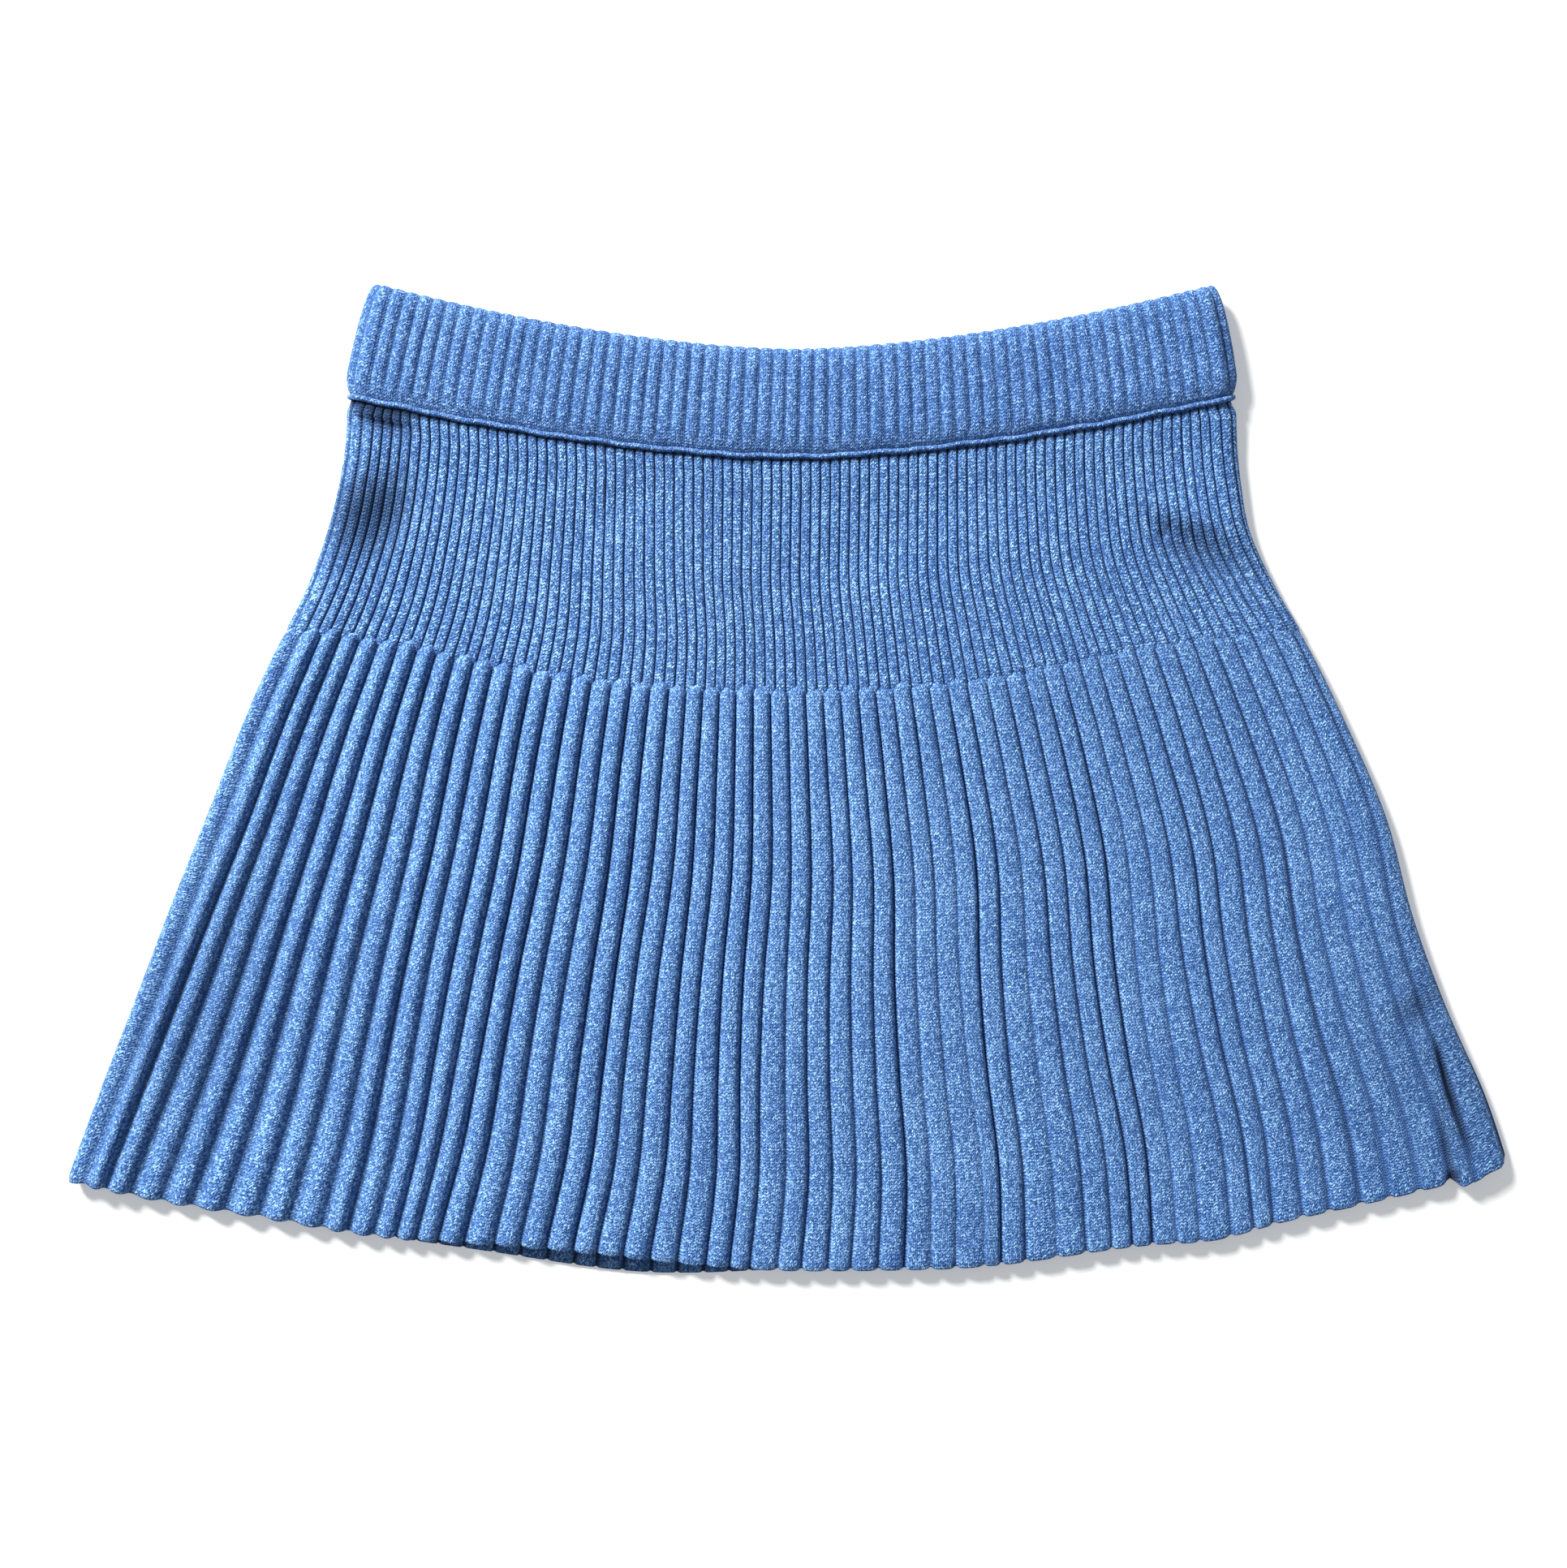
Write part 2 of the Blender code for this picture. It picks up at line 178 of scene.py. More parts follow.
def smooth(rows, key, value, at):
    """The smooth curve through one column of a table, read at a place in another column."""
    xs = [getattr(row, key) for row in rows]
    ys = [getattr(row, value) for row in rows]
    at = min(max(at, xs[0]), xs[-1])
    k = next(i for i in range(len(xs) - 1) if at <= xs[i + 1])

    def slope(i):
        low, high = max(i - 1, 0), min(i + 1, len(xs) - 1)
        return (ys[high] - ys[low]) / (xs[high] - xs[low])

    step = xs[k + 1] - xs[k]
    s = (at - xs[k]) / step
    start, end = slope(k) * step, slope(k + 1) * step
    rise = ys[k + 1] - ys[k]
    return ys[k] + s * start + s * s * (3 * rise - 2 * start - end) + s**3 * (start + end - 2 * rise)


def ease(x):
    """0 below 0, 1 above 1, and a smooth step between."""
    x = np.clip(x, 0.0, 1.0)
    return x * x * (3 - 2 * x)


def over_folds(x, y, value):
    """The sum at each place of one value of the soft folds, each fading out from its middle."""
    total = np.zeros_like(x)
    for fold in FOLDS:
        turn = math.radians(fold.turn)
        dx, dy = x - fold.x, y - fold.y
        along = (dx * math.cos(turn) + dy * math.sin(turn)) / fold.long
        aside = (dy * math.cos(turn) - dx * math.sin(turn)) / fold.wide
        total += getattr(fold, value) * np.exp(-(along**2) - aside**2)
    return total


def hem_longer(side, share, down):
    """How much longer than its smooth curve the front or back is, at each share of its width."""
    u = 2 * share - 1
    total = np.zeros_like(share) - (BACK_SHORTER if side == "back" else 0.0)
    for wave in HEM_WAVES:
        total += getattr(wave, side) * np.exp(-(((u - wave.across) / wave.wide) ** 2))
    return total * ease((down - LENGTH + HEM_ZONE) / HEM_ZONE)


def past_change(share, down):
    """How far past the change from fine to wide ribs a row is, at each share of its width."""
    lifts = [smooth(CHANGE_LIFTS, "share", "up", at) for at in share]
    return down - RIBS_CHANGE + np.array(lifts)


class Tube:
    """One row across the skirt's flattened tube, of the panels or of the band round their top."""

    def __init__(self, down, side, lie=None):
        self.down, self.side = down, side
        self.inset = smooth(lie, "down", "inset", down) if lie else 0.0
        self.half = smooth(lie, "down", "half", down) if lie else BAND_HALF
        self.underside = max(smooth(lie, "down", "underside", down), 0.0) if lie else 0.0
        self.settle = max(smooth(lie, "down", "settle", down), 0.0) if lie and side == "front" else 0.0
        self.left = smooth(OUTLINE, "down", "left_x", down)
        self.right = smooth(OUTLINE, "down", "right_x", down)
        self.left_y = smooth(OUTLINE, "down", "left_y", down)
        self.right_y = smooth(OUTLINE, "down", "right_y", down)
        self.arc = math.pi / 2 * math.sqrt((SIDE_ROUND**2 + self.half**2) / 2)
        self.width = self.right - self.left - 2 * SIDE_ROUND + 2 * self.arc

    def points(self, share, depth, longer=0.0):
        """The points at these shares of the width and depths under the tube's outer surface."""
        run = share * self.width
        from_side = np.minimum(run, self.width - run)
        angle = np.minimum(from_side / self.arc, 1.0) * math.pi / 2
        rounded = SIDE_ROUND - (SIDE_ROUND - depth) * np.cos(angle)
        inward = rounded + np.maximum(from_side - self.arc, 0)
        inward = inward + self.inset * (1 - ease(from_side / INSET_OVER))
        x = np.where(run < self.width / 2, self.left + inward, self.right - inward)
        u = (2 * x - self.left - self.right) / (self.right - self.left)
        end_y = np.where(u < 0, self.left_y, self.right_y)
        centre_y = WAIST_Y - self.down
        curve = WAIST_CURVE + (HEM_CURVE - WAIST_CURVE) * self.down / LENGTH
        y = centre_y + (end_y - centre_y) * np.minimum(np.abs(u), 1.0) ** curve - longer
        height = (self.half - depth) * np.sin(angle) + SEAM_GAP / 2
        middle = self.underside + self.half + SEAM_GAP / 2
        if self.side == "back":
            return np.stack([x, y, middle - height], axis=-1)
        sink = self.settle * ease((from_side - self.arc) / SETTLE_OVER)
        folds = over_folds(x, y, "rise") * ease(from_side / FOLDS_OVER) if self.settle else 0.0
        return np.stack([x, y, middle + height - sink + folds], axis=-1)


chance = random.Random(4)
WOBBLES = [0.0] + [chance.uniform(-1, 1) for _ in range(WIDE_RIBS - 1)] + [0.0]
DRIFT_TOP = [smooth(RIB_DRIFT, "share", "top", k / WIDE_RIBS) for k in range(WIDE_RIBS + 1)]
DRIFT_HEM = [smooth(RIB_DRIFT, "share", "hem", k / WIDE_RIBS) for k in range(WIDE_RIBS + 1)]


def down_ribs(down):
    """How far down the wide ribs a row lies: 0 at their top and 1 at the hem."""
    return max((down - RIBS_CHANGE) / (LENGTH - RIBS_CHANGE), 0.0)


def wide_grooves(down):
    """The share of the width at which each groove of the wide ribs lies in a row."""
    share = np.arange(WIDE_RIBS + 1) / WIDE_RIBS
    low = down_ribs(down)
    drift = np.array(DRIFT_TOP) * (1 - low) + np.array(DRIFT_HEM) * low
    return share + drift + np.array(WOBBLES) * RIB_WOBBLE * low**2


def fine_grooves(down):
    """The grooves of the fine ribs, which drift with the wide ribs below them from DRIFT_FROM on."""
    share = np.arange(FINE_RIBS + 1) / FINE_RIBS
    low = ease((down - DRIFT_FROM) / (RIBS_CHANGE - DRIFT_FROM))
    return share + np.interp(share, np.arange(WIDE_RIBS + 1) / WIDE_RIBS, DRIFT_TOP) * low


def rib_columns(grooves, phases):
    """The share of each column of a ribbed row, its phase across the rib, and the rib's number."""
    start, end = grooves[:-1, None], grooves[1:, None]
    share = (start + (end - start) * np.array(phases)).ravel()
    phase = np.tile(phases, len(grooves) - 1)
    rib = np.repeat(np.arange(len(grooves) - 1), len(phases))
    return np.append(share, 1.0), np.append(phase, 0.0), np.append(rib, len(grooves) - 2)


def knitted_sheet(name, rows, wales, courses, purl_and_shade_rows, painted_shades, thickness):
    """A sheet of knit through rows of points. Its UVs count wales and courses; one mark gives the floor of
    the grooves, smoother and painted darker as shade, and another how much shade is painted into grooves
    and folds."""
    columns = len(rows[0]) - 1
    bm = bmesh.new()
    bmesh.ops.create_grid(bm, x_segments=columns, y_segments=len(rows) - 1, size=0.5)
    uv = bm.loops.layers.uv.new("wales")
    purl_and_shade = bm.verts.layers.float.new("purl_and_shade")
    painted_shade = bm.verts.layers.float.new("painted_shade")
    bm.verts.ensure_lookup_table()
    place = {}
    for vert in bm.verts:
        i, j = round((vert.co.x + 0.5) * columns), round((0.5 - vert.co.y) * (len(rows) - 1))
        place[vert] = (i, j)
        vert[purl_and_shade] = purl_and_shade_rows[j][i]
        vert[painted_shade] = painted_shades[j][i]
    for vert, (i, j) in place.items():
        vert.co = rows[j][i]
    for face in bm.faces:
        for loop in face.loops:
            i, j = place[loop.vert]
            loop[uv].uv = (wales[i], courses[j])
    mesh = bpy.data.meshes.new(name)
    bm.to_mesh(mesh)
    bm.free()
    mesh.shade_smooth()
    piece = bpy.data.objects.new(name, mesh)
    bpy.context.scene.collection.objects.link(piece)
    solid = piece.modifiers.new("cloth", "SOLIDIFY")
    solid.thickness = thickness
    solid.offset = -1
    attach(piece, "root")
    return piece


class Wire:
    """A socket of a material, on which Python's operators add Math nodes."""

    def __init__(self, finish, socket):
        self.finish, self.socket = finish, socket

    def maths(self, operation, *values):
        inputs = dict(enumerate(values))
        return self.finish.node("ShaderNodeMath", {"operation": operation}, inputs)

    def __add__(self, other):
        return self.maths("ADD", self, other)

    def __mul__(self, other):
        return self.maths("MULTIPLY", self, other)

    def __sub__(self, other):
        return self.maths("SUBTRACT", self, other)

    def __rsub__(self, other):
        return self.maths("SUBTRACT", other, self)

    def __pow__(self, other):
        return self.maths("POWER", self, other)

    def __abs__(self):
        return self.maths("ABSOLUTE", self)

    __radd__ = __add__
    __rmul__ = __mul__

    def sine(self):
        return self.maths("SINE", self)

    def fraction(self):
        return self.maths("FRACT", self)

    def floor(self):
        return self.maths("FLOOR", self)

    def between(self, low, high):
        """0 at low, 1 at high, and a smooth step between."""
        settings = {"interpolation_type": "SMOOTHSTEP"}
        return self.finish.node("ShaderNodeMapRange", settings, {0: self, 1: low, 2: high, 3: 0.0, 4: 1.0})


class Finish:
    """A material being put together from nodes."""

    def __init__(self, name):
        self.material = bpy.data.materials.new(name)
        self.material.use_nodes = True
        self.nodes = self.material.node_tree.nodes
        self.links = self.material.node_tree.links
        self.shader = self.nodes["Principled BSDF"]

    def set(self, node, name, value):
        if isinstance(value, Wire):
            self.links.new(value.socket, node.inputs[name])
        else:
            node.inputs[name].default_value = value

    def node(self, kind, settings=None, inputs=None, output=0):
        node = self.nodes.new(kind)
        for name, value in (settings or {}).items():
            setattr(node, name, value)
        for name, value in (inputs or {}).items():
            self.set(node, name, value)
        return Wire(self, node.outputs[output])

    def mix(self, share, first, second):
        settings = {"data_type": "RGBA"}
        return self.node("ShaderNodeMix", settings, {0: share, 6: first, 7: second}, output=2)

    def noise(self, vector, scale, detail, roughness):
        inputs = {"Vector": vector, "Scale": scale, "Detail": detail, "Roughness": roughness}
        return self.node("ShaderNodeTexNoise", None, inputs)


WALE_MM = 1.7
COURSE_MM = 1.25


def knit(name, base, light, dark, purl_side_and_shade, painted_shade, fuzz, grain):
    """Heathered wool knit: V stitches of light and dark fibres, smooth groove floors painted darker as
    shade, and painted shade in the grooves and folds.
    """
    finish = Finish(name)
    uv = finish.node("ShaderNodeUVMap", {"uv_map": "wales"})
    split = finish.nodes.new("ShaderNodeSeparateXYZ")
    finish.links.new(uv.socket, split.inputs[0])
    wale, course = Wire(finish, split.outputs[0]), Wire(finish, split.outputs[1])
    place = finish.node("ShaderNodeTexCoord", output=3)
    purl_and_shade = finish.node("ShaderNodeAttribute", {"attribute_name": "purl_and_shade"}, output=2)
    closed = finish.node("ShaderNodeAttribute", {"attribute_name": "painted_shade"}, output=2)
    stitch_mm = (WALE_MM, COURSE_MM, 1.0)
    in_mm = finish.node("ShaderNodeVectorMath", {"operation": "MULTIPLY"}, {0: uv, 1: stitch_mm})
    # Each stitch is a V: two legs of yarn a wale wide, in courses that wander a little
    wander = finish.noise(in_mm, 0.35, 2.0, 0.6) - 0.5
    leg = abs((wale + wander * 0.6).fraction() * 2.0 - 1.0)
    along = course + leg * 0.6 + wander * 1.6
    loops = ((along * math.tau).sine() * 0.5 + 0.5) * (0.3 + 0.7 * (1.0 - abs(leg * 2.0 - 1.0) ** 2.0))
    # Each leg has its own shade of fibres, under a haze of loose ones and the yarn's soft blotches
    stitch = finish.node("ShaderNodeCombineXYZ", None, {0: (wale * 2.0).floor(), 1: along.floor()})
    fibre = finish.node("ShaderNodeTexWhiteNoise", {"noise_dimensions": "2D"}, {"Vector": stitch})
    strand_place = finish.node("ShaderNodeCombineXYZ", None, {0: wale * 1.6, 1: along * 1.6})
    strand = finish.noise(strand_place, 1.0, 2.0, 0.7)
    haze = finish.noise(in_mm, 1.25, 3.0, 0.8)
    blotch = finish.noise(place, 42.0, 2.0, 0.6)
    # The loops' share paints a little shade into the gaps between the stitches
    fleck = strand * 0.4 + haze * 0.6 - 0.5 + (fibre - 0.5) * 0.10 + (loops - 0.71) * 0.05
    fleck = fleck * grain + 0.5 + (blotch - 0.5) * 0.06
    colour = finish.mix(fleck.between(0.41, 0.51), dark, base)
    colour = finish.mix(fleck.between(0.49, 0.61), colour, light)
    # Groove floors take the smoother purl colour, darker as painted shade
    colour = finish.mix(purl_and_shade * 0.85, colour, purl_side_and_shade)
    # The painted shade in the grooves and folds is broken up by the fibres and by the stitches beside them
    broken = (fleck - 0.5) * 2.2 + (loops - 0.38) * 0.9
    edge = (closed * 1.25 + broken * closed).between(0.1, 1.0)
    colour = finish.mix(edge, colour, painted_shade)
    wrinkle = finish.noise(in_mm, 0.45, 2.0, 0.5)
    relief = loops * 0.6 + fibre * 0.15 + haze * 0.8 + strand * 0.6 + wrinkle
    bump = {"Strength": 0.85, "Distance": 0.0006, "Height": relief}
    finish.set(finish.shader, "Base Color", colour)
    finish.set(finish.shader, "Normal", finish.node("ShaderNodeBump", None, bump))
    finish.set(finish.shader, "Roughness", 0.92)
    finish.set(finish.shader, "Specular IOR Level", 0.18)
    finish.set(finish.shader, "Sheen Weight", fuzz)
    finish.set(finish.shader, "Sheen Roughness", 0.45)
    finish.set(finish.shader, "Sheen Tint", (0.62, 0.80, 1.0, 1.0))
    return finish.material


COURSE = COURSE_MM / 1000
FUZZ = 0.13
WIDE_GRAIN = 1.05
FINE_GRAIN = 1.18
BLUE = (0.108, 0.258, 0.620, 1.0)
PALE_BLUE = (0.400, 0.690, 1.000, 1.0)
DEEP_BLUE = (0.032, 0.092, 0.275, 1.0)
# Purl colour of the groove floors: smoother, and darker as painted shade
PURL_AND_SHADE_BLUE = (0.062, 0.165, 0.470, 1.0)
# Near-black blue of the painted shade in grooves, folds and along the band's rolled edge
PAINTED_SHADE_BLUE = (0.014, 0.034, 0.085, 1.0)
PANEL_BLUES = (BLUE, PALE_BLUE, DEEP_BLUE, PURL_AND_SHADE_BLUE, PAINTED_SHADE_BLUE)
wide_knit = knit("heathered_wide_rib_knit", *PANEL_BLUES, FUZZ, WIDE_GRAIN)
fine_knit = knit("heathered_fine_rib_knit", *PANEL_BLUES, FUZZ, FINE_GRAIN)

BACK_THICK = 0.0010
BACK_SCALLOP = 0.0008
TUCK_WIDTH = 0.350
HIP_WIDTH = 0.402
HEM_WIDTH = 0.5675
YOKE_DEEP = RIBS_CHANGE - TUCK_TOP
WIDE_DEEP = LENGTH - RIBS_CHANGE
YOKE_AREA = (TUCK_WIDTH + HIP_WIDTH) / 2 * YOKE_DEEP
WIDE_AREA = (HIP_WIDTH + HEM_WIDTH) / 2 * WIDE_DEEP
FINE_WALES = 2.2
WIDE_WALES = 6.0

# The back's fine ribs over the hips, which end tucked in under its wide ribs, each with how deep its
# pressed grooves are and how many wales a rib has
YOKE_DOWNS = np.linspace(TUCK_TOP, RIBS_CHANGE - 0.0016, 24)
TUCKED_DOWNS = RIBS_CHANGE + np.array([-0.0004, 0.0010])
Part = namedtuple("Part", "name downs grooves phases press wales width deep area finish")
BACK_PARTS = [
    Part(
        "back_hip_yoke",
        np.append(YOKE_DOWNS, TUCKED_DOWNS),
        fine_grooves,
        (0.0, 0.14, 0.34, 0.66, 0.86),
        0.0005,
        FINE_WALES,
        HIP_WIDTH,
        YOKE_DEEP,
        YOKE_AREA,
        fine_knit,
    ),
    Part(
        "back_wide_ribs",
        np.linspace(RIBS_CHANGE - 0.0004, LENGTH, 52),
        wide_grooves,
        (0.0, 0.10, 0.25, 0.5, 0.75, 0.90),
        0.0008,
        WIDE_WALES,
        HEM_WIDTH,
        WIDE_DEEP,
        WIDE_AREA,
        wide_knit,
    ),
]
for part in BACK_PARTS:
    back_rows, back_purl_and_shade = [], []
    for down in part.downs:
        share, phase, rib = rib_columns(part.grooves(down), part.phases)
        groove = 1 - ease(np.minimum(phase, 1 - phase) / 0.12)
        past = down - RIBS_CHANGE
        if part.name == "back_wide_ribs":
            groove = groove * ease(past / 0.004)
            tucked = 0.0
        else:
            groove = groove * (1 - ease((past + 0.003) / 0.003))
            tucked = 0.0005 * ease((past + 0.001) / 0.002)
        scallop = BACK_SCALLOP * (1 - groove) * (down == LENGTH)
        longer = hem_longer("back", share, down) + scallop
        tube = Tube(down, "back", PANEL_LIE)
        back_rows.append(tube.points(share, groove * part.press + tucked, longer))
        back_purl_and_shade.append(groove)
    wales = (rib + phase) * part.wales
    courses = -part.downs / COURSE
    # The floors of the pressed grooves are smoother and get painted shade
    back = knitted_sheet(part.name, back_rows, wales, courses, back_purl_and_shade, back_purl_and_shade, BACK_THICK)
    back.data.materials.append(part.finish)
    back.data.flip_normals()
    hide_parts("skirt_back")

# Front, lower part: the wide ribs that flare from the hips to the hem, five or six wales to each, rounded
# on top and drawn in at the purl wales between them. They end in a bind-off row that scallops the hem.
FRONT_THICK = 0.0010
HEM_SCALLOP = 0.0010
SWAY = 0.00055
SHIFT_RUN = 0.57
WIDE_PHASES = (0.0, 0.055, 0.13, 0.24, 0.38, 0.52, 0.66, 0.79, 0.89, 0.955)

# How the ribs stand across the skirt: their rise, how square they are, how wide the valleys between them
# are at the top of the ribs and at the hem, and how far they lean to the right
Stand = namedtuple("Stand", "share rise square top_valley hem_valley lean")
RIB_STANDS = [
    Stand(0.00, 0.0028, 1.9, 0.06, 0.14, 0.10),
    Stand(0.12, 0.0030, 1.8, 0.03, 0.16, 0.14),
    Stand(0.25, 0.0029, 2.1, 0.00, 0.08, 0.12),
    Stand(0.40, 0.0024, 3.2, 0.00, 0.02, 0.05),
    Stand(0.60, 0.0019, 4.2, 0.00, 0.04, 0.00),
    Stand(0.75, 0.0015, 4.8, 0.01, 0.05, -0.03),
    Stand(0.88, 0.0013, 5.4, 0.05, 0.13, -0.08),
    Stand(0.94, 0.0012, 5.4, 0.06, 0.14, -0.08),
    Stand(1.00, 0.0008, 3.6, 0.08, 0.16, -0.06),
]


def of_each_rib(value):
    """One value of how the ribs stand, for each wide rib."""
    return np.array([smooth(RIB_STANDS, "share", value, k / WIDE_RIBS) for k in range(WIDE_RIBS)])


rib_wave = random.Random(11)
groove_sway = np.array([rib_wave.uniform(0, math.tau) for _ in range(WIDE_RIBS + 1)])
rib_high = np.array([rib_wave.uniform(-1, 1) for _ in range(WIDE_RIBS)])
rib_rise = of_each_rib("rise")
rib_square = of_each_rib("square")
top_valley = of_each_rib("top_valley")
hem_valley = of_each_rib("hem_valley")
rib_peak = 0.5 + of_each_rib("lean")

# Grooves that the cloth opens or closes towards the hem: which one, its shift across there in metres, and
# how deep it is, where 1 is as deep as the ribs are high
Groove = namedtuple("Groove", "number shift depth")
ODD_GROOVES = [
    Groove(1, -0.0012, 0.8),
    Groove(2, -0.0036, 1.0),
    Groove(3, -0.0040, 0.8),
    Groove(4, -0.0010, 0.9),
    Groove(9, 0.0006, 0.9),
    Groove(19, 0.0000, 1.2),
    Groove(24, 0.0008, 1.1),
    Groove(28, -0.0010, 0.9),
    Groove(32, 0.0010, 1.2),
    Groove(33, -0.0010, 0.7),
    Groove(34, -0.0012, 0.5),
    Groove(35, 0.0006, 0.5),
    Groove(36, -0.0022, 1.5),
    Groove(37, -0.0044, 0.9),
    Groove(38, -0.0010, 0.6),
    Groove(41, -0.0006, 1.3),
    Groove(42, -0.0016, 1.3),
    Groove(43, -0.0018, 0.6),
    Groove(44, -0.0010, 0.6),
    Groove(45, 0.0024, 0.9),
    Groove(46, 0.0012, 1.1),
    Groove(47, -0.0030, 0.9),
    Groove(51, 0.0010, 0.6),
    Groove(52, 0.0010, 0.5),
    Groove(53, 0.0016, 0.5),
    Groove(54, 0.0000, 0.6),
]
groove_shift = np.zeros(WIDE_RIBS + 1)
groove_depth = np.array([0.95 + 0.15 * rib_wave.uniform(-1, 1) for _ in range(WIDE_RIBS + 1)])
for odd in ODD_GROOVES:
    groove_shift[odd.number] = odd.shift
    groove_depth[odd.number] = odd.depth
wide_downs = np.concatenate(
    [
        RIBS_CHANGE + np.linspace(-0.0090, 0.0055, 13),
        np.linspace(RIBS_CHANGE + 0.0080, LENGTH - 0.0045, 62),
        LENGTH - np.array([0.0030, 0.0020, 0.0012, 0.0005, 0.0]),
    ]
)


def wavy_grooves(down):
    """The grooves of a row, each with its own slow sway and its shift towards the hem."""
    low = down_ribs(down)
    sway = np.sin(groove_sway + low * 7.0) * SWAY * min(low * 4, 1.0)
    sway[0] = sway[-1] = 0.0
    return wide_grooves(down) + sway + groove_shift / SHIFT_RUN * low**1.5


def wide_profile(phase, rib, down):
    """How full the ribs are at each column of a row, 0 between them and 1 on the crown, how high they
    stand there and how much shade is painted into the grooves, more where they are narrow and deep."""
    low = down_ribs(down)
    open_valley = top_valley[rib] * (1 - low) + hem_valley[rib] * low
    peak = rib_peak[rib]
    valley = open_valley * np.where(phase < peak, 1 + (peak - 0.5) * 5, 1 - (peak - 0.5) * 5)
    across = np.where(phase < peak, phase / peak, (1 - phase) / (1 - peak))
    climb = np.clip((across - valley) / (1 - valley), 0, 1)
    crown = (1 - (1 - climb) ** rib_square[rib]) * ease(across / (valley + 0.12))
    depth = 1 + (groove_depth[np.where(phase < 0.5, rib, rib + 1)] - 1) * min(low * 2.5, 1.0)
    painted_groove_shade = np.clip(depth, 0, 1.3) * (1 - open_valley * 2.6) * (1 - 0.32 * low)
    painted_groove_shade *= np.minimum(0.45 + rib / WIDE_RIBS * 1.4, 0.95)
    return crown, 1 - (1 - crown) * np.minimum(depth, 1.15), painted_groove_shade


wide_rows, wide_purl_and_shade, wide_painted_shades = [], [], []
for down in wide_downs:
    share, phase, rib = rib_columns(wavy_grooves(down), WIDE_PHASES)
    crown, height, painted_groove_shade = wide_profile(phase, rib, down)
    start = past_change(share, down) + 0.0030 * crown + 0.0009 * rib_high[rib] - 0.0022
    begin = 0.72 * np.sqrt(ease((start + 0.0010) / 0.0050)) + 0.28 * ease(start / 0.016)
    bind = 1 - 0.35 * ease((down - LENGTH + 0.0022) / 0.0022)
    rise = rib_rise[rib] * (1 + 0.10 * rib_high[rib]) * begin * bind
    sunk = 0.0009 * (1 - ease((start + 0.0015) / 0.0030))
    # Painted shade in the notches where the tops of the wide ribs meet the yoke
    painted_notch_shade = (0.5 + 0.3 * share) * np.exp(-(((start + 0.0005) / 0.0030) ** 2))
    scallop = HEM_SCALLOP * crown * ease((down - LENGTH + 0.006) / 0.006)
    tube = Tube(down, "front", PANEL_LIE)
    longer = hem_longer("front", share, down) + scallop
    wide_rows.append(tube.points(share, sunk - height * rise, longer))
    # The groove floors are painted darker towards the right, where more shade falls
    wide_purl_and_shade.append((1 - crown) ** 1.6 * (0.25 + 0.55 * ease((share - 0.62) / 0.25)))
    # Painted shade: in the grooves, in the notches and from the folds
    closed = over_folds(*wide_rows[-1].T[:2], "closed")
    groove = (1 - crown) ** 3 * (np.clip(painted_groove_shade, 0, 1.2) * begin + painted_notch_shade)
    wide_painted_shades.append(groove * (1 - closed) + closed)
wales = (rib + phase) * WIDE_WALES
courses = -wide_downs / COURSE
front = knitted_sheet("front_wide_ribs", wide_rows, wales, courses, wide_purl_and_shade, wide_painted_shades, FRONT_THICK)
front.data.materials.append(wide_knit)
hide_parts("skirt_front")

# Front, hip yoke: the same panel above the wide ribs, in fine ribs with flat tops and thin purl grooves
# that hold it to the hips. Its upper edge is linked in behind the waistband's outer layer.
FINE_RISE = 0.0009
FINE_PHASES = (0.0, 0.07, 0.16, 0.30, 0.50, 0.70, 0.84, 0.93)
UNDER_BAND = 0.0436
fine_downs = np.concatenate(
    [
        np.linspace(TUCK_TOP, 0.0505, 12),
        np.linspace(0.0525, RIBS_CHANGE + 0.0050, 47),
    ]
)
fine_high = np.array([rib_wave.uniform(-1, 1) for _ in range(FINE_RIBS)])
fine_rows, fine_purl_and_shade, fine_painted_shades = [], [], []
for down in fine_downs:
    share, phase, rib = rib_columns(fine_grooves(down), FINE_PHASES)
    across = np.minimum(phase, 1 - phase) * 2
    crown = 1 - (1 - across) ** 5
    start = past_change(share, down)
    rise = FINE_RISE * (1 + 0.12 * fine_high[rib]) * (1 - 0.7 * ease(start / 0.0040))
    under = 0.0011 * ease(start / 0.0045)
    tube = Tube(down, "front", PANEL_LIE)
    fine_rows.append(tube.points(share, under - crown * rise))
    fine_purl_and_shade.append((1 - across) ** 4)
    # Painted shade in the thin grooves and from the folds, and a painted shadow line under the band's
    # rolled edge, darker at the left
    closed = over_folds(*fine_rows[-1].T[:2], "closed")
    painted_band_shadow = (0.75 - 0.50 * share) * math.exp(-(((down - UNDER_BAND) / 0.0016) ** 2))
    fine_painted_shades.append((1 - across) ** 5 * 0.75 * (1 - closed) + closed + painted_band_shadow)
wales = (rib + phase) * FINE_WALES
courses = -fine_downs / COURSE
yoke = knitted_sheet("front_hip_yoke", fine_rows, wales, courses, fine_purl_and_shade, fine_painted_shades, FRONT_THICK)
yoke.data.materials.append(fine_knit)
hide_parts("skirt_front")

# Waistband: a ribbed strip folded over at the waist, its soft round ribs fading out above a thin rolled
# edge where it is linked to the panels. Its inner layer lies hidden behind the outer one.
BAND_RIBS = 63
BAND_RISE = 0.0011
BAND_THICK = 0.0014
BAND_WALES = 3.2
BAND_WAVER = 0.00018
BAND_SCALLOP = 0.0005
BAND_FUZZ = 0.11
BAND_GRAIN = 1.15
# Where the painted dark line in the groove above the rolled edge lies
ROLL_LINE_FROM = 0.0407
ROLL_LINE_TO = 0.0413
BAND_PHASES = (0.0, 0.12, 0.25, 0.38, 0.50, 0.62, 0.75, 0.88)

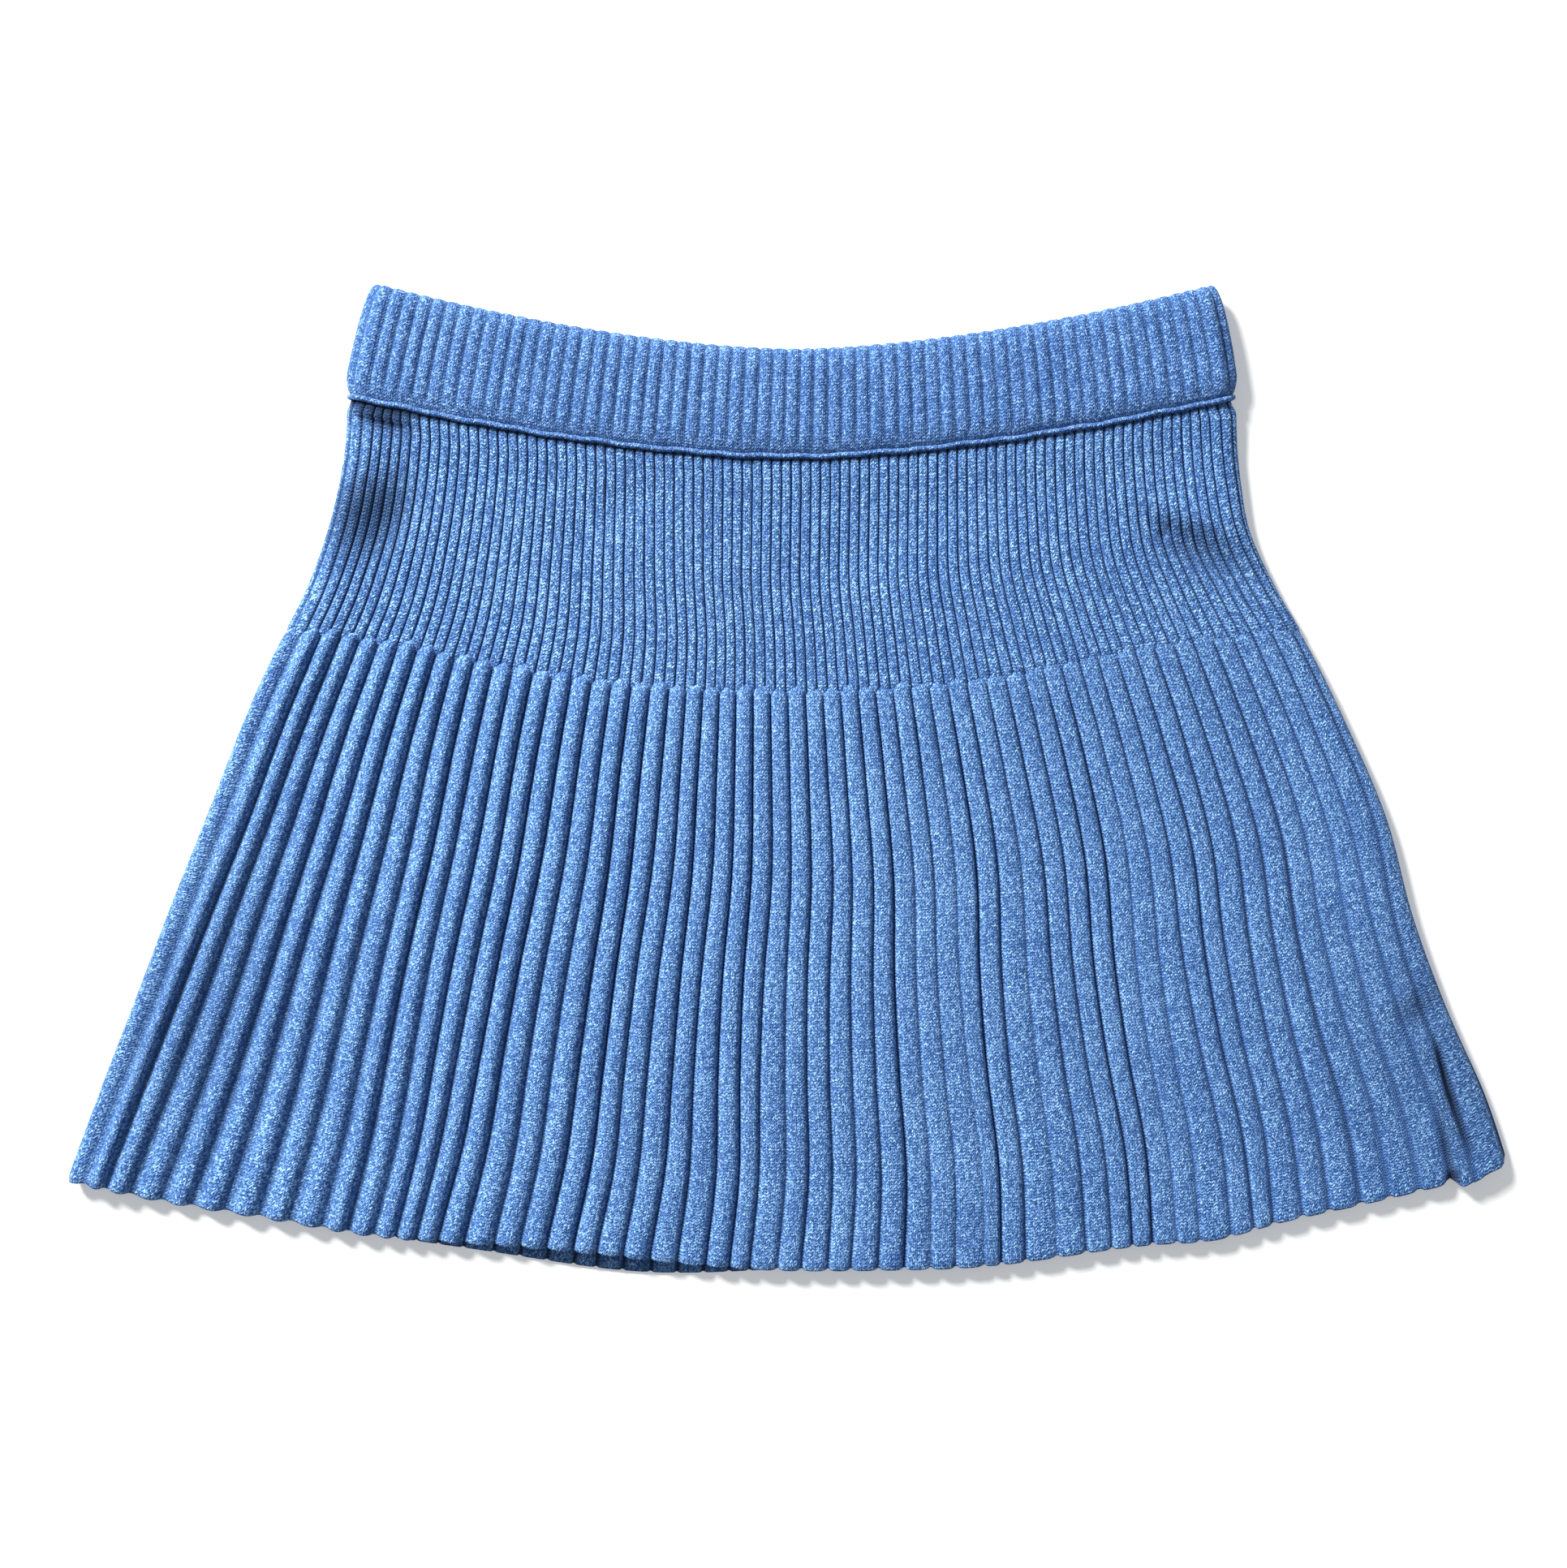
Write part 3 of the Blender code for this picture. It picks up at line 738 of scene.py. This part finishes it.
# The band's section from the rolled edge's underside, over the outside, round the fold and down inside: the
# distance down from the waist, the depth under the outer surface, and how full the ribs stand
Section = namedtuple("Section", "down depth ribs")
ROLL = [
    Section(0.0422 + 0.0010 * math.sin(turn), 0.0012 - 0.0010 * math.cos(turn), 0.0)
    for turn in (2.6, 2.1, 1.6, 1.1, 0.6, 0.1, -0.4, -0.9, -1.4)
]
OUTSIDE = [
    Section(0.0412, 0.0013, 0.0),
    Section(0.0408, 0.0010, 0.0),
    Section(0.0400, 0.0004, 0.0),
    Section(0.0392, 0.0001, 0.1),
    Section(0.0380, -0.0001, 0.4),
    Section(0.0362, -0.0003, 0.8),
    Section(0.0340, -0.0004, 1.0),
    Section(0.0310, -0.0004, 1.0),
    Section(0.0270, -0.0005, 1.0),
    Section(0.0230, -0.0005, 1.0),
    Section(0.0190, -0.0005, 1.0),
    Section(0.0150, -0.0005, 1.0),
    Section(0.0110, -0.0004, 1.0),
    Section(0.0080, -0.0003, 1.0),
    Section(0.0055, -0.0001, 1.0),
    Section(0.0035, 0.0002, 0.9),
    Section(0.0020, 0.0007, 0.9),
    Section(0.0008, 0.0014, 0.9),
    Section(0.0002, 0.0022, 0.8),
    Section(0.0004, 0.0031, 0.4),
    Section(0.0014, 0.0039, 0.2),
    Section(0.0035, 0.0044, 0.0),
    Section(0.0120, 0.0044, 0.0),
    Section(0.0240, 0.0044, 0.0),
    Section(0.0355, 0.0044, 0.0),
]
BAND_SECTION = ROLL + OUTSIDE
band_high = np.array([rib_wave.uniform(-1, 1) for _ in range(BAND_RIBS)])
# The band's blues are the panels' wool darkened as painted shade; its groove floors take the dark fleck
# blue, also as painted shade
BAND_SHADED_BLUE = (0.088, 0.208, 0.515, 1.0)
BAND_SHADED_PALE = (0.290, 0.510, 0.880, 1.0)
BAND_BLUES = (BAND_SHADED_BLUE, BAND_SHADED_PALE, DEEP_BLUE, DEEP_BLUE, PAINTED_SHADE_BLUE)
band_knit = knit("heathered_band_knit", *BAND_BLUES, BAND_FUZZ, BAND_GRAIN)
share, phase, rib = rib_columns(np.arange(BAND_RIBS + 1) / BAND_RIBS, BAND_PHASES)
crown = 1 - (1 - np.minimum(phase, 1 - phase) * 2) ** 2.4
ripple = np.sin(share * 61) + np.sin(share * 143 + 1.0)
for side, node in (("front", "waistband_front"), ("back", "waistband_back")):
    # The front's ribs stand up, and the back's are pressed flat on the surface
    raised = 1.0 if side == "front" else 0.0
    band_rows, band_purl_and_shade, band_painted_shades, band_courses = [], [], [], []
    run = 0.0
    for k, row in enumerate(BAND_SECTION):
        rise = BAND_RISE * row.ribs * (1 + 0.15 * band_high[rib]) * raised
        depth = max(row.depth, 0.0) if side == "back" else row.depth
        waver = BAND_WAVER * ripple * ease((row.down - 0.030) / 0.010)
        scallop = BAND_SCALLOP * crown * raised * math.exp(-row.down / 0.0020)
        band_rows.append(Tube(row.down, side).points(share, depth - crown * rise, waver - scallop))
        band_purl_and_shade.append((1 - crown) ** 2 * row.ribs * 0.7)
        # Painted shade in the band's rib grooves, and a painted dark line in the groove above the rolled
        # edge
        painted_line_above_roll = 0.30 if ROLL_LINE_FROM < row.down < ROLL_LINE_TO else 0.0
        band_painted_shades.append((1 - crown) ** 4 * row.ribs * (0.45 - 0.25 * share) + painted_line_above_roll)
        before = BAND_SECTION[max(k - 1, 0)]
        run += math.hypot(row.down - before.down, row.depth - before.depth)
        band_courses.append(run / COURSE)
    wales = (rib + phase) * BAND_WALES
    name = f"{side}_band"
    band = knitted_sheet(name, band_rows, wales, band_courses, band_purl_and_shade, band_painted_shades, BAND_THICK)
    band.data.materials.append(band_knit)
    if side == "front":
        band.data.flip_normals()
    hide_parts(node)

# Surface and light: a plain white surface, and soft light from the upper left that rakes across the ribs.
white = Finish("white_surface")
white.set(white.shader, "Base Color", (0.90, 0.90, 0.90, 1.0))
white.set(white.shader, "Roughness", 0.95)
white.set(white.shader, "Emission Color", (1.0, 1.0, 1.0, 1.0))
white.set(white.shader, "Emission Strength", 0.30)
bm = bmesh.new()
bmesh.ops.create_grid(bm, x_segments=1, y_segments=1, size=6.0)
floor_mesh = bpy.data.meshes.new("floor")
bm.to_mesh(floor_mesh)
bm.free()
floor_mesh.materials.append(white.material)
floor = bpy.data.objects.new("floor", floor_mesh)
bpy.context.scene.collection.objects.link(floor)

world = bpy.data.worlds.new("studio")
world.use_nodes = True
background = world.node_tree.nodes["Background"]
background.inputs["Color"].default_value = (0.86, 0.93, 1.0, 1.0)
background.inputs["Strength"].default_value = 0.26
bpy.context.scene.world = world
bpy.context.scene.view_settings.view_transform = "Standard"

key = bpy.data.lights.new("key", "AREA")
key.shape = "DISK"
key.size = 0.72
key.energy = 147.0
key.color = (1.0, 0.98, 0.95)
key_lamp = bpy.data.objects.new("key", key)
key_lamp.location = (-1.38, 1.56, 1.144)
to_skirt = Vector((0, 0, 0)) - key_lamp.location
key_lamp.rotation_euler = to_skirt.to_track_quat("-Z", "Y").to_euler()
bpy.context.scene.collection.objects.link(key_lamp)

# Camera: straight above the skirt, as the photograph was taken.
CAMERA_HIGH = 0.97
CLOTH_HIGH = 0.004
FIELD = 0.6182
SENSOR = 36.0
camera = bpy.data.cameras.new("camera")
camera.sensor_width = SENSOR
camera.lens = SENSOR * (CAMERA_HIGH - CLOTH_HIGH) / FIELD
eye = bpy.data.objects.new("camera", camera)
eye.location = (-0.0008, -0.0014, CAMERA_HIGH)
bpy.context.scene.collection.objects.link(eye)
bpy.context.scene.camera = eye
